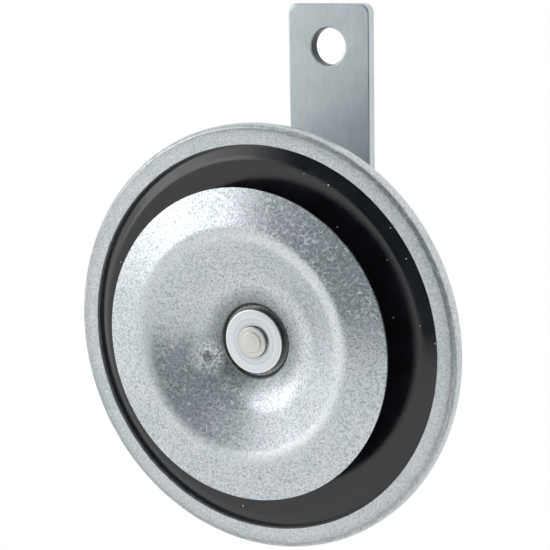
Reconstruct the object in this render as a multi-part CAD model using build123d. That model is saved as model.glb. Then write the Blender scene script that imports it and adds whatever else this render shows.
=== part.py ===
from build123d import *
import math
import os

os.makedirs("parts", exist_ok=True)

# Electric disc horn. Lengths are in millimetres and angles in degrees.
# The horn is drawn about its own axis, which is Y: the front of the rim is at depth 0 and depth grows
# to the rear. Every piece is moved at the end, so that the centre of the bracket's hole is the origin.
# Radii are built up from the magnet's core outwards, and depths from the front of the rim to the rear.

# Magnet core, bobbin and winding
air_gap = 1.0
core_radius = 9.8
core_length = 11.0
core_chamfer = 0.6
core_play = 0.1
bobbin_wall = 1.0
bobbin_flange_thickness = 1.3
winding_thickness = 8.7
winding_inset = 3.2
bobbin_gap = 2.2

# Housing shell
housing_sheet = 1.0
shelf_width = 16.2
chamber_taper = 2.2
mouth_gap = 1.6
housing_depth = 36.2
cup_floor_bend = 2.0
shelf_bend = 1.2
chamber_bend = 1.5
flange_bend = 1.2

# Rim and the crimped stack
rim_face_width = 4.8
ring_sheet = 1.0
ring_bend = 1.4
crimp_width = 3.1
stack_play = 0.05
diaphragm_sheet = 0.5
gasket_thickness = 0.3
gasket_overhang = 0.3

# Diaphragm pressing
groove_gap = 0.35
groove_bend = 0.8
shoulder_run = 2.85
shoulder_rise = 0.95
shoulder_bend = 4.0
diaphragm_dish = 1.65
diaphragm_flat_margin = 1.0
diaphragm_flat_bend = 6.0

# Armature, stem and washers
armature_inset = 0.8
armature_chamfer = 0.5
stem_radius = 3.6
stem_play = 0.05
stem_end_stand = 0.85
stem_pip_radius = 2.45
stem_pip_height = 0.25
front_washer_radius = 7.5
front_washer_thickness = 1.6
front_washer_edge = 0.25
spacer_radius = 8.2
spacer_thickness = 1.1
flange_overhang = 4.5
flange_thickness = 1.1

# Tone disc pressing
tone_sheet = 1.0
tone_margin = 13.62
tone_slope_run = 10.1
tone_crest_height = 8.85
tone_crest_bend = 6.0
tone_edge_height = 6.17
seat_gap = 0.8
seat_step = 1.1
seat_wall_run = 0.5
seat_floor_bend = 0.3
seat_lip_bend = 1.1
dish_knee_share = 0.37
dish_knee_height = 2.5
dish_knee_bend_share = 1.04

# Pole plate
pole_plate_thickness = 2.0
pole_plate_gap = 2.5
pole_hole_play = 1.2
pole_ear_gap = 7.2
pole_ear_width = 9.0
pole_rivet_inset = 3.2
pole_rivet_radius = 1.5
pole_ear_angles = (0, 90, 225)

# Rivets and the reach of a cutter past the faces that it cuts
rivet_play = 0.05
rivet_head_height = 0.8
rivet_head_ratio = 1.75
cut_margin = 1.0

# Contact breaker, on the side of the horn towards -X
breaker_wall_gap = 6.4
breaker_rivet_radius = 1.25
breaker_rivet_pitch = 4.4
breaker_length = 8.6
breaker_width = 12.0
contact_spring_thickness = 0.3
contact_spring_width = 6.0
contact_spring_end = 1.85
contact_arm_thickness = 1.0
contact_arm_width = 7.0
contact_arm_end = 2.4
contact_arm_ear_margin = 0.5
breaker_spacer_thickness = 1.2
breaker_top_thickness = 0.8
breaker_plate_thickness = 0.8
breaker_block_thickness = 5.7
sleeve_wall = 0.7
contact_radius = 1.5
contact_tail_ratio = 0.8
contact_tail_height = 0.4
pusher_inset = 1.7
pusher_radius = 1.6
pusher_gap = 0.15
pusher_length = 3.15

# Leads of enamelled wire, and the tabs that they are soldered to
wire_radius = 0.4
wire_bend = 0.8
wire_play = 0.05
wire_hole_play = 0.5
wire_rivet_gap = 0.3
wire_tail = 5.0
solder_tab_width = 2.4
solder_tab_reach = 3.0
solder_point_inset = 1.2
tab_gap = 0.4

# Adjusting screw
screw_radius = 2.5
screw_play = 0.05
screw_offset = 11.0
screw_tip_gap = 0.05
screw_boss_height = 2.0
screw_boss_wall = 1.2
screw_head_radius = 4.2
screw_head_height = 3.0
screw_head_stand = 1.2
screw_slot_width = 1.2
screw_slot_depth = 1.4

# Blade terminals, at the foot of the horn
blade_width = 6.3
blade_thickness = 0.8
blade_length = 9.4
blade_hole_radius = 0.85
blade_tip_chamfer = 1.2
foot_width = 8.0
foot_length = 8.0
terminal_pitch = 15.0
terminal_gap = 0.2
terminal_bend = 1.0
insulator_thickness = 2.0
inner_insulator_thickness = 1.2
insulator_width = 26.0
insulator_length = 8.8
insulator_corner = 1.5
collar_radius = 2.95
collar_play = 0.05
terminal_rivet_radius = 1.5

# Stud, nut and bracket
stud_radius = 4.0
stud_play = 0.2
stud_end_stand = 2.2
nut_across_flats = 13.0
nut_thickness = 6.5
nut_thread_play = 0.05
nut_bevel_angle = 30.0
nut_bevel_inset = 0.2
spring_washer_radius = 7.1
spring_washer_thickness = 2.0
spring_washer_slot = 1.2
spring_washer_slant = 25.0
bracket_width = 22.0
bracket_thickness = 2.5
bracket_corner = 2.3
bracket_edge_round = 0.4
bracket_end_margin = 12.0
hole_radius = 4.5
hole_to_top = 10.24
hole_to_axis = 64.8

# Radii, worked out from the core to the rim
winding_radius = core_radius + core_play + bobbin_wall + winding_thickness
bobbin_flange_radius = winding_radius + winding_inset
cup_radius = bobbin_flange_radius + bobbin_gap
chamber_floor_radius = cup_radius + shelf_width
chamber_mouth_radius = chamber_floor_radius + chamber_taper
lip_radius = chamber_mouth_radius + mouth_gap
rim_radius = lip_radius + rim_face_width
stack_radius = rim_radius - ring_bend - stack_play
groove_radius = lip_radius - groove_gap
shoulder_radius = groove_radius - shoulder_run
armature_radius = core_radius - armature_inset
flange_radius = armature_radius + flange_overhang
diaphragm_flat_radius = flange_radius + diaphragm_flat_margin
tone_radius = rim_radius - tone_margin
tone_crest_radius = tone_radius - tone_slope_run
seat_radius = front_washer_radius + seat_gap
seat_edge_radius = seat_radius + seat_wall_run
dish_width = tone_crest_radius - seat_edge_radius
dish_knee_radius = seat_edge_radius + dish_knee_share * dish_width
dish_knee_bend = dish_knee_bend_share * dish_width
stem_bore_radius = stem_radius + stem_play
stud_bore_radius = stud_radius + stud_play

# Places across the horn, from the wall of the chamber inwards
breaker_centre = chamber_floor_radius - breaker_wall_gap
breaker_inner = breaker_centre - breaker_length / 2
breaker_outer = breaker_centre + breaker_length / 2
pusher_distance = flange_radius - pusher_inset
contact_distance = (pusher_distance + breaker_inner) / 2
pole_plate_radius = breaker_inner - pole_plate_gap
pole_ear_reach = chamber_floor_radius - pole_ear_gap
pole_rivet_circle = pole_ear_reach - pole_rivet_inset
terminal_distance = pole_plate_radius + terminal_gap + insulator_length / 2

# Depths of the seats along the axis, worked out from the sheets
diaphragm_clamp_depth = ring_sheet
gasket_depth = diaphragm_clamp_depth + diaphragm_sheet
flange_depth = gasket_depth + gasket_thickness
crimp_depth = flange_depth + housing_sheet
ring_depth = crimp_depth + ring_sheet
shoulder_depth = diaphragm_clamp_depth - shoulder_rise
diaphragm_front = shoulder_depth + diaphragm_dish
diaphragm_back = diaphragm_front + diaphragm_sheet
seat_depth = diaphragm_front - spacer_thickness - tone_sheet
washer_front = seat_depth - front_washer_thickness
stem_front = washer_front - stem_end_stand
flange_back = diaphragm_back + flange_thickness

# Depths in the contact stack, counted from the armature's flange
spring_front = flange_back + pusher_gap + pusher_length
spring_back = spring_front + contact_spring_thickness
arm_back = spring_front - breaker_spacer_thickness
arm_front = arm_back - contact_arm_thickness
top_insulator_front = arm_front - breaker_top_thickness
clamp_plate_front = top_insulator_front - breaker_plate_thickness
contact_meeting = (spring_front + arm_back) / 2

# Depths of the chamber, the magnet and the fastening behind it
chamber_depth = spring_back + breaker_block_thickness
shelf_back = chamber_depth + housing_sheet
cup_floor = housing_depth - housing_sheet
core_front = cup_floor - core_length
armature_back = core_front - air_gap
bracket_back = housing_depth + bracket_thickness
spring_washer_back = bracket_back + spring_washer_thickness
nut_back = spring_washer_back + nut_thickness

# Depths and places of the wire leads
pole_plate_front = chamber_depth - pole_plate_thickness
terminal_rivet_front = chamber_depth - inner_insulator_thickness - rivet_head_height
wire_end_depth = terminal_rivet_front - wire_rivet_gap
wire_run_depth = min(pole_plate_front, terminal_rivet_front) - wire_rivet_gap - wire_radius
wire_crossing_depth = (spring_back + wire_play + wire_end_depth) / 2
wire_tail_depth = chamber_depth + bobbin_flange_thickness + wire_tail
wire_coil_radius = winding_radius + wire_radius + wire_play
solder_tab_end = -breaker_width / 2 - solder_tab_reach
solder_row = solder_tab_end + solder_point_inset
arm_tab_x = -breaker_centre + (solder_tab_width + tab_gap) / 2
spring_tab_x = -breaker_centre - (solder_tab_width + tab_gap) / 2
terminal_lead_start = (terminal_pitch / 2,
                       -math.sqrt(wire_coil_radius ** 2 - (terminal_pitch / 2) ** 2))
breaker_lead_start = (-math.sqrt(wire_coil_radius ** 2 - solder_row ** 2), solder_row)


def turned(*points):
    """Revolve a closed outline of (radius, depth) points about the horn's axis."""
    return revolve(make_face(Polyline(*points, close=True)), Axis.Y)


def ring(inner, outer, front, back):
    """A plain ring about the horn's axis."""
    return turned((inner, front), (outer, front), (outer, back), (inner, back))


def pressed(front_line, sheet):
    """Sheet metal, pressed to a front profile and revolved about the axis."""
    return revolve(make_face(offset(front_line, sheet, side=Side.LEFT)), Axis.Y)


def rod(radius, front, back, x=0.0, z=0.0):
    """A round bar along the depth, centred on (x, z)."""
    plane = Plane(origin=(x, front, z), x_dir=(1, 0, 0), z_dir=(0, 1, 0))
    return extrude(plane * Circle(radius), back - front)


def slab(x_low, x_high, front, back, z_low, z_high):
    """A block between two corners."""
    block = Box(x_high - x_low, back - front, z_high - z_low)
    return Pos((x_low + x_high) / 2, (front + back) / 2, (z_low + z_high) / 2) * block


def drill(radius, front, back, x=0.0, z=0.0):
    """The cutter for a round hole through the depths front to back."""
    return rod(radius, front - cut_margin, back + cut_margin, x, z)


def solid_rivet(radius, front, back, x, z):
    """A rivet through the depths front to back, with a flat head on each end."""
    head = radius * rivet_head_ratio
    shank = rod(radius, front, back, x, z)
    first_head = rod(head, front - rivet_head_height, front, x, z)
    second_head = rod(head, back, back + rivet_head_height, x, z)
    return shank + first_head + second_head


# Rim and diaphragm

def clamp_ring():
    """Bezel that is rolled over the diaphragm and the flange of the housing."""
    profile = FilletPolyline(
        (lip_radius, 0),
        (rim_radius, 0),
        (rim_radius, ring_depth),
        (rim_radius - crimp_width, ring_depth),
        radius=ring_bend,
    )
    return pressed(profile, ring_sheet)


def diaphragm():
    """Spring steel disc: clamped edge, groove, raised shoulder, shallow cone and a flat middle."""
    profile = FilletPolyline(
        (stem_bore_radius, diaphragm_front),
        (diaphragm_flat_radius, diaphragm_front),
        (shoulder_radius, shoulder_depth),
        (groove_radius, diaphragm_clamp_depth),
        (stack_radius, diaphragm_clamp_depth),
        radius=[diaphragm_flat_bend, shoulder_bend, groove_bend],
    )
    return pressed(profile, diaphragm_sheet)


def diaphragm_gasket():
    return ring(lip_radius + gasket_overhang, stack_radius, gasket_depth, flange_depth)


# Vibrating group

def tone_disc():
    """Dished resonator: a sunk seat for the washer, a hollow dish, a crest and a sloping outer rim."""
    step_depth = seat_depth - seat_step
    profile = FilletPolyline(
        (stem_bore_radius, seat_depth),
        (seat_radius, seat_depth),
        (seat_edge_radius, step_depth),
        (dish_knee_radius, seat_depth - dish_knee_height),
        (tone_crest_radius, seat_depth - tone_crest_height),
        (tone_radius, seat_depth - tone_edge_height),
        radius=[seat_floor_bend, seat_lip_bend, dish_knee_bend, tone_crest_bend],
    )
    return pressed(profile, tone_sheet)


def armature():
    """Soft iron slug with the stem that carries the disc, staked over the front washer."""
    stem_chamfer = armature_chamfer / 2
    return turned(
        (0, stem_front - stem_pip_height),
        (stem_pip_radius - stem_pip_height, stem_front - stem_pip_height),
        (stem_pip_radius, stem_front),
        (stem_radius - stem_chamfer, stem_front),
        (stem_radius, stem_front + stem_chamfer),
        (stem_radius, flange_back),
        (armature_radius - armature_chamfer, flange_back),
        (armature_radius, flange_back + armature_chamfer),
        (armature_radius, armature_back - armature_chamfer),
        (armature_radius - armature_chamfer, armature_back),
        (0, armature_back),
    )


def front_washer():
    """Bright washer with a softly rounded front edge."""
    return turned(
        (stem_bore_radius, washer_front),
        (front_washer_radius - front_washer_edge, washer_front),
        (front_washer_radius, washer_front + front_washer_edge),
        (front_washer_radius, seat_depth),
        (stem_bore_radius, seat_depth),
    )


def spacer_washer():
    return ring(stem_bore_radius, spacer_radius, seat_depth + tone_sheet, diaphragm_front)


def armature_washer():
    """Flange behind the diaphragm, wide enough to reach the pusher of the contact breaker."""
    return ring(stem_bore_radius, flange_radius, diaphragm_back, flange_back)


# Housing and magnet

def pole_rivet_places():
    """Centres (x, z) of the rivets through the ears of the pole plate."""
    places = []
    for angle in pole_ear_angles:
        turn = math.radians(angle)
        places.append((pole_rivet_circle * math.cos(turn), pole_rivet_circle * math.sin(turn)))
    return places


def breaker_rivet_places():
    """Centres (x, z) of the two rivets through the contact stack."""
    half = breaker_rivet_pitch / 2
    return [(-breaker_centre + half, 0.0), (-breaker_centre - half, 0.0)]


def terminal_places():
    """Centres (x, z) of the two terminal rivets."""
    half = terminal_pitch / 2
    return [(-half, -terminal_distance), (half, -terminal_distance)]


def housing_cup():
    """Stepped shell: crimped flange, wide front chamber, shelf, narrow magnet cup and rear wall."""
    profile = FilletPolyline(
        (stud_bore_radius, cup_floor),
        (cup_radius, cup_floor),
        (cup_radius, chamber_depth),
        (chamber_floor_radius, chamber_depth),
        (chamber_mouth_radius, flange_depth),
        (stack_radius, flange_depth),
        radius=[cup_floor_bend, shelf_bend, chamber_bend, flange_bend],
    )
    shell = pressed(profile, housing_sheet)
    boss_radius = screw_radius + screw_play + screw_boss_wall
    shell += rod(boss_radius, shelf_back - housing_sheet / 2, shelf_back + screw_boss_height,
                 -breaker_centre, screw_offset)
    shell -= drill(screw_radius + screw_play, chamber_depth, shelf_back + screw_boss_height,
                   -breaker_centre, screw_offset)
    for x, z in pole_rivet_places():
        shell -= drill(pole_rivet_radius + rivet_play, chamber_depth, shelf_back, x, z)
    for x, z in breaker_rivet_places():
        shell -= drill(breaker_rivet_radius + rivet_play, chamber_depth, shelf_back, x, z)
    for x, z in terminal_places():
        shell -= drill(collar_radius + collar_play, chamber_depth, shelf_back, x, z)
    return shell


def pole_plate():
    """Front plate of the magnet, with three ears riveted to the shelf of the shell."""
    front = pole_plate_front
    plate = rod(pole_plate_radius, front, chamber_depth)
    for angle in pole_ear_angles:
        straight = slab(0, pole_ear_reach - pole_ear_width / 2, front, chamber_depth,
                        -pole_ear_width / 2, pole_ear_width / 2)
        tip = rod(pole_ear_width / 2, front, chamber_depth, pole_ear_reach - pole_ear_width / 2)
        plate += Rot(0, -angle, 0) * (straight + tip)
    plate -= drill(armature_radius + pole_hole_play, front, chamber_depth)
    for x, z in pole_rivet_places():
        plate -= drill(pole_rivet_radius + rivet_play, front, chamber_depth, x, z)
    for x, z in (terminal_lead_start, breaker_lead_start):
        plate -= drill(wire_radius + wire_hole_play, front, chamber_depth, x, z)
    return plate


def pole_plate_rivets():
    rivets = []
    for x, z in pole_rivet_places():
        rivets.append(solid_rivet(pole_rivet_radius, pole_plate_front, shelf_back, x, z))
    return Compound(rivets)


def coil_bobbin():
    """Moulded spool round the core, with two holes in its front flange for the leads."""
    bore = core_radius + core_play
    hub = bore + bobbin_wall
    front_flange_back = chamber_depth + bobbin_flange_thickness
    spool = turned(
        (bore, chamber_depth),
        (bobbin_flange_radius, chamber_depth),
        (bobbin_flange_radius, front_flange_back),
        (hub, front_flange_back),
        (hub, cup_floor - bobbin_flange_thickness),
        (bobbin_flange_radius, cup_floor - bobbin_flange_thickness),
        (bobbin_flange_radius, cup_floor),
        (bore, cup_floor),
    )
    for x, z in (terminal_lead_start, breaker_lead_start):
        spool -= drill(wire_radius + wire_hole_play, chamber_depth, front_flange_back, x, z)
    return spool


def coil_winding():
    hub = core_radius + core_play + bobbin_wall
    front = chamber_depth + bobbin_flange_thickness
    return ring(hub, winding_radius, front, cup_floor - bobbin_flange_thickness)


def magnet_core():
    """Fixed core with the threaded stud that goes out through the shell and carries the bracket."""
    stud_end = nut_back + stud_end_stand
    return turned(
        (0, core_front),
        (core_radius - core_chamfer, core_front),
        (core_radius, core_front + core_chamfer),
        (core_radius, cup_floor),
        (stud_radius, cup_floor),
        (stud_radius, stud_end - core_chamfer),
        (stud_radius - core_chamfer, stud_end),
        (0, stud_end),
    )


# Contact breaker

def stack_block(front, back, bore):
    """One layer of the contact stack, with its two rivet holes."""
    layer = slab(-breaker_outer, -breaker_inner, front, back, -breaker_width / 2, breaker_width / 2)
    for x, z in breaker_rivet_places():
        layer -= drill(bore, front, back, x, z)
    return layer


def breaker_insulator():
    return stack_block(spring_back, chamber_depth, breaker_rivet_radius + rivet_play)


def breaker_spacer():
    return stack_block(arm_back, spring_front, breaker_rivet_radius + rivet_play)


def breaker_top_insulator():
    return stack_block(top_insulator_front, arm_front, breaker_rivet_radius + rivet_play)


def breaker_clamp_plate():
    return stack_block(clamp_plate_front, top_insulator_front, breaker_rivet_radius + rivet_play)


def breaker_rivets():
    rivets = []
    for x, z in breaker_rivet_places():
        rivets.append(solid_rivet(breaker_rivet_radius, clamp_plate_front, shelf_back, x, z))
    return Compound(rivets)


def breaker_sleeves():
    """Short insulating tubes that keep the rivets off the spring and the arm."""
    inner = breaker_rivet_radius + rivet_play
    sleeves = []
    for x, z in breaker_rivet_places():
        for front, back in ((arm_front, arm_back), (spring_front, spring_back)):
            sleeves.append(rod(inner + sleeve_wall, front, back, x, z) - drill(inner, front, back, x, z))
    return Compound(sleeves)


def sleeve_holes(front, back):
    """Holes for the sleeves through one leaf of the stack."""
    radius = breaker_rivet_radius + rivet_play + sleeve_wall + rivet_play
    holes = []
    for x, z in breaker_rivet_places():
        holes.append(drill(radius, front, back, x, z))
    return holes


def solder_tab(middle, front, back):
    """Tab beside the stack that a lead is soldered to."""
    half = solder_tab_width / 2
    return slab(middle - half, middle + half, front, back, solder_tab_end, 0)


def contact_spring():
    """Leaf of the moving contact, from the stack to the pusher beside the armature."""
    half = contact_spring_width / 2
    tip = -pusher_distance + contact_spring_end
    leaf = slab(-breaker_outer, tip, spring_front, spring_back, -half, half)
    leaf += solder_tab(spring_tab_x, spring_front, spring_back)
    for hole in sleeve_holes(spring_front, spring_back):
        leaf -= hole
    leaf -= drill(contact_radius / 2 + rivet_play, spring_front, spring_back, -contact_distance)
    leaf -= drill(pusher_radius / 2 + rivet_play, spring_front, spring_back, -pusher_distance)
    return leaf


def fixed_contact_arm():
    """Stiff arm of the fixed contact, with an ear on which the adjusting screw bears."""
    half = contact_arm_width / 2
    tip = -contact_distance + contact_arm_end
    arm = slab(-breaker_outer, tip, arm_front, arm_back, -half, half)
    arm += solder_tab(arm_tab_x, arm_front, arm_back)
    ear_half = screw_radius + contact_arm_ear_margin
    arm += slab(-breaker_centre - ear_half, -breaker_centre + ear_half, arm_front, arm_back,
                0, screw_offset + ear_half)
    for hole in sleeve_holes(arm_front, arm_back):
        arm -= hole
    arm -= drill(contact_radius / 2 + rivet_play, arm_front, arm_back, -contact_distance)
    return arm


def fixed_contact_point():
    """Contact rivet of the fixed arm: its head faces the moving contact."""
    head = rod(contact_radius, arm_back, contact_meeting, -contact_distance)
    shank = rod(contact_radius / 2, arm_front, arm_back, -contact_distance)
    tail = rod(contact_radius * contact_tail_ratio, arm_front - contact_tail_height, arm_front,
               -contact_distance)
    return head + shank + tail


def moving_contact_point():
    head = rod(contact_radius, contact_meeting, spring_front, -contact_distance)
    shank = rod(contact_radius / 2, spring_front, spring_back, -contact_distance)
    tail = rod(contact_radius * contact_tail_ratio, spring_back, spring_back + contact_tail_height,
               -contact_distance)
    return head + shank + tail


def contact_pusher():
    """Insulating button on the leaf, just behind the flange of the armature."""
    head = rod(pusher_radius, spring_front - pusher_length, spring_front, -pusher_distance)
    shank = rod(pusher_radius / 2, spring_front, spring_back, -pusher_distance)
    tail = rod(pusher_radius * contact_tail_ratio, spring_back, spring_back + contact_tail_height,
               -pusher_distance)
    return head + shank + tail


def adjusting_screw():
    """Slotted screw in the threaded boss of the shell, with its tip on the fixed contact's arm."""
    tip = arm_back + screw_tip_gap
    head_front = shelf_back + screw_boss_height + screw_head_stand
    head_back = head_front + screw_head_height
    screw = rod(screw_radius, tip, head_front)
    screw += rod(screw_head_radius, head_front, head_back)
    reach = screw_head_radius + cut_margin
    screw -= slab(-reach, reach, head_back - screw_slot_depth, head_back + cut_margin,
                  -screw_slot_width / 2, screw_slot_width / 2)
    return Pos(-breaker_centre, 0, screw_offset) * screw


# Wire leads

def lead(start, end, first_depth, run_depth, last_depth):
    """Stiff wire that stands up at start, runs to end at one depth and ends at last_depth."""
    run_x = end[0] - start[0]
    run_z = end[1] - start[1]
    run = math.hypot(run_x, run_z)
    upright = Plane(origin=(start[0], 0, start[1]), x_dir=(run_x, 0, run_z), z_dir=(-run_z, 0, run_x))
    points = [(0, first_depth), (0, run_depth), (run, run_depth)]
    if last_depth != run_depth:
        points.append((run, last_depth))
    path = upright * FilletPolyline(*points, radius=wire_bend)
    return sweep(Plane(origin=path @ 0, z_dir=path % 0) * Circle(wire_radius), path)


def coil_lead_terminal():
    """Outer end of the winding, led through the pole plate to the right terminal's rivet."""
    end = (terminal_pitch / 2, -terminal_distance)
    return lead(terminal_lead_start, end, wire_tail_depth, wire_run_depth, wire_run_depth)


def coil_lead_breaker():
    """Other end of the winding, soldered to the tab of the fixed contact arm."""
    end = (arm_tab_x, solder_row)
    return lead(breaker_lead_start, end, wire_tail_depth, wire_run_depth, arm_back + wire_play)


def breaker_lead():
    """Wire from the tab of the contact spring to the left terminal's rivet."""
    start = (spring_tab_x, solder_row)
    end = (-terminal_pitch / 2, -terminal_distance)
    return lead(start, end, spring_back + wire_play, wire_crossing_depth, wire_end_depth)


# Terminals

def terminal_plate(front, back, bore):
    """Insulating plate across both terminals, rounded at its corners."""
    low = -terminal_distance - insulator_length / 2
    high = -terminal_distance + insulator_length / 2
    plate = slab(-insulator_width / 2, insulator_width / 2, front, back, low, high)
    plate = fillet(plate.edges().filter_by(Axis.Y), insulator_corner)
    for x, z in terminal_places():
        plate -= drill(bore, front, back, x, z)
    return plate


def terminal_insulator():
    return terminal_plate(shelf_back, shelf_back + insulator_thickness,
                          terminal_rivet_radius + rivet_play)


def terminal_inner_insulator():
    """Inner plate with a collar round each rivet that lines the hole in the shell."""
    bore = terminal_rivet_radius + rivet_play
    plate = terminal_plate(chamber_depth - inner_insulator_thickness, chamber_depth, bore)
    for x, z in terminal_places():
        plate += rod(collar_radius, chamber_depth, shelf_back, x, z)
        plate -= drill(bore, chamber_depth, shelf_back, x, z)
    return plate


def blade_terminal(x):
    """Blade terminal: a riveted foot, a bend and a 6.3 mm blade that points to the rear."""
    front = shelf_back + insulator_thickness
    foot_top = -terminal_distance + foot_length / 2
    blade_z = -terminal_distance - foot_length / 2 - terminal_bend
    middle = front + blade_thickness / 2
    path = FilletPolyline(
        (foot_top, middle),
        (blade_z, middle),
        (blade_z, middle + blade_length),
        radius=terminal_bend,
    )
    side = Plane(origin=(x, 0, 0), x_dir=(0, 0, 1), z_dir=(-1, 0, 0))
    section = side * trace(path, blade_thickness)
    strip = extrude(section, blade_width / 2, both=True)
    foot = slab(x - foot_width / 2, x + foot_width / 2, front, front + blade_thickness,
                foot_top - foot_length, foot_top)
    terminal = strip + foot
    tip = terminal.edges().filter_by(Axis.Z).group_by(Axis.Y)[-1]
    terminal = chamfer(tip, blade_tip_chamfer)
    hole_depth = middle + blade_length - blade_width / 2
    across = Plane(origin=(x, hole_depth, blade_z), x_dir=(1, 0, 0), z_dir=(0, 0, 1))
    terminal -= extrude(across * Circle(blade_hole_radius), blade_thickness, both=True)
    return terminal - drill(terminal_rivet_radius + rivet_play, front, front + blade_thickness,
                            x, -terminal_distance)


def terminal_rivets():
    front = terminal_rivet_front + rivet_head_height
    back = shelf_back + insulator_thickness + blade_thickness
    rivets = []
    for x, z in terminal_places():
        rivets.append(solid_rivet(terminal_rivet_radius, front, back, x, z))
    return Compound(rivets)


# Bracket and its fastening

def mounting_bracket():
    """Flat strip, hung from the hole near its top, with the stud of the horn through its foot."""
    top = hole_to_axis + hole_to_top
    strip = slab(-bracket_width / 2, bracket_width / 2, housing_depth, bracket_back,
                 -bracket_end_margin, top)
    strip = fillet(strip.edges().filter_by(Axis.Y), bracket_corner)
    strip -= drill(hole_radius, housing_depth, bracket_back, 0, hole_to_axis)
    strip -= drill(stud_bore_radius, housing_depth, bracket_back)
    front_face = strip.faces().sort_by(Axis.Y)[0]
    rounded = front_face.outer_wire().edges() + front_face.inner_wires().edges().sort_by(Axis.Z)[-1:]
    return fillet(rounded, bracket_edge_round)


def spring_washer():
    """Split lock washer, with its slot cut on the slant."""
    washer = ring(stud_bore_radius, spring_washer_radius, bracket_back, spring_washer_back)
    half_height = spring_washer_thickness / 2 + cut_margin
    slot = slab(-spring_washer_slot / 2, spring_washer_slot / 2, -half_height, half_height,
                0, spring_washer_radius + cut_margin)
    middle = (bracket_back + spring_washer_back) / 2
    return washer - Pos(0, middle, 0) * Rot(0, 0, spring_washer_slant) * slot


def mounting_nut():
    """Hexagon nut with chamfered corners."""
    hexagon = RegularPolygon(nut_across_flats / 2, 6, major_radius=False)
    plane = Plane(origin=(0, spring_washer_back, 0), x_dir=(1, 0, 0), z_dir=(0, 1, 0))
    block = extrude(plane * hexagon, nut_thickness)
    corner = nut_across_flats / math.sqrt(3)
    face_radius = nut_across_flats / 2 - nut_bevel_inset
    bevel = (corner - face_radius) * math.tan(math.radians(nut_bevel_angle))
    envelope = turned(
        (0, spring_washer_back),
        (face_radius, spring_washer_back),
        (corner, spring_washer_back + bevel),
        (corner, nut_back - bevel),
        (face_radius, nut_back),
        (0, nut_back),
    )
    return (block & envelope) - drill(stud_radius + nut_thread_play, spring_washer_back, nut_back)


left_x = -terminal_pitch / 2
right_x = terminal_pitch / 2

pieces = {
    "clamp_ring": clamp_ring(),
    "diaphragm": diaphragm(),
    "diaphragm_gasket": diaphragm_gasket(),
    "tone_disc": tone_disc(),
    "armature": armature(),
    "front_washer": front_washer(),
    "spacer_washer": spacer_washer(),
    "armature_washer": armature_washer(),
    "housing_cup": housing_cup(),
    "pole_plate": pole_plate(),
    "pole_plate_rivets": pole_plate_rivets(),
    "coil_bobbin": coil_bobbin(),
    "coil_winding": coil_winding(),
    "magnet_core": magnet_core(),
    "breaker_insulator": breaker_insulator(),
    "breaker_spacer": breaker_spacer(),
    "breaker_top_insulator": breaker_top_insulator(),
    "breaker_clamp_plate": breaker_clamp_plate(),
    "breaker_rivets": breaker_rivets(),
    "breaker_sleeves": breaker_sleeves(),
    "contact_spring": contact_spring(),
    "fixed_contact_arm": fixed_contact_arm(),
    "fixed_contact_point": fixed_contact_point(),
    "moving_contact_point": moving_contact_point(),
    "contact_pusher": contact_pusher(),
    "adjusting_screw": adjusting_screw(),
    "coil_lead_terminal": coil_lead_terminal(),
    "coil_lead_breaker": coil_lead_breaker(),
    "breaker_lead": breaker_lead(),
    "terminal_insulator": terminal_insulator(),
    "terminal_inner_insulator": terminal_inner_insulator(),
    "terminal_left": blade_terminal(left_x),
    "terminal_right": blade_terminal(right_x),
    "terminal_rivets": terminal_rivets(),
    "mounting_bracket": mounting_bracket(),
    "spring_washer": spring_washer(),
    "mounting_nut": mounting_nut(),
}

# The centre of the bracket's hole, on the bracket's rear face, becomes the origin.
to_hole = Pos(0, -bracket_back, -hole_to_axis)
for name, piece in pieces.items():
    export_step(to_hole * piece, f"parts/{name}.step")
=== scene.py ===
import math

import bmesh
import bpy
from mathutils import Matrix, Vector


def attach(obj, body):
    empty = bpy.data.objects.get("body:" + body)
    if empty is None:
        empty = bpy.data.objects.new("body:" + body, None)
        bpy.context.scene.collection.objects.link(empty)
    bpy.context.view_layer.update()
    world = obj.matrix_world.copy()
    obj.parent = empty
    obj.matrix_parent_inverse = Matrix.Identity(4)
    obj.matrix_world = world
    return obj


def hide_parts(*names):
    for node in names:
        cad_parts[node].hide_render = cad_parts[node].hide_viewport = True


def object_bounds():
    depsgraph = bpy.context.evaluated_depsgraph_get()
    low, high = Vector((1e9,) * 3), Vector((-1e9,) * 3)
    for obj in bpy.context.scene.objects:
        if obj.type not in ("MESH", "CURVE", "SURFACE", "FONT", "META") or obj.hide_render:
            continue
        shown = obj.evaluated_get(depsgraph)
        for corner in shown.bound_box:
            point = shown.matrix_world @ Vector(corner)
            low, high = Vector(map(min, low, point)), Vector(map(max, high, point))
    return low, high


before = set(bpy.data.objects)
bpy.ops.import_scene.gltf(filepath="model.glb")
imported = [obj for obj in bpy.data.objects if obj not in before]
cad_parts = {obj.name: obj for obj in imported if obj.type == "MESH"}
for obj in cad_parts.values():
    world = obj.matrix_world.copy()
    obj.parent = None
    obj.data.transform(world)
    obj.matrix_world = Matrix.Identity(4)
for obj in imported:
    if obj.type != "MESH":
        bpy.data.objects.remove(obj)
cad_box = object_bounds()


# Clamp ring: zinc-plated steel bezel, spun over the edge of the shell so that it clamps the diaphragm.
# Its front face is flat and narrow, with a soft outer corner, and its edge is crimped in at the back.

MM = 0.001
# The horn's axis runs along Y at this height, and the flat front of its rim is at this Y, both in metres.
AXIS_Z = -0.0648
FRONT_Y = -0.0387
SMOOTH_ANGLE = math.radians(28)

plate_thickness = 1.0
lip_radius = 45.0
rim_radius = 49.8
ring_depth = 3.8
ring_bend = 1.4
crimp_width = 3.1


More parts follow.
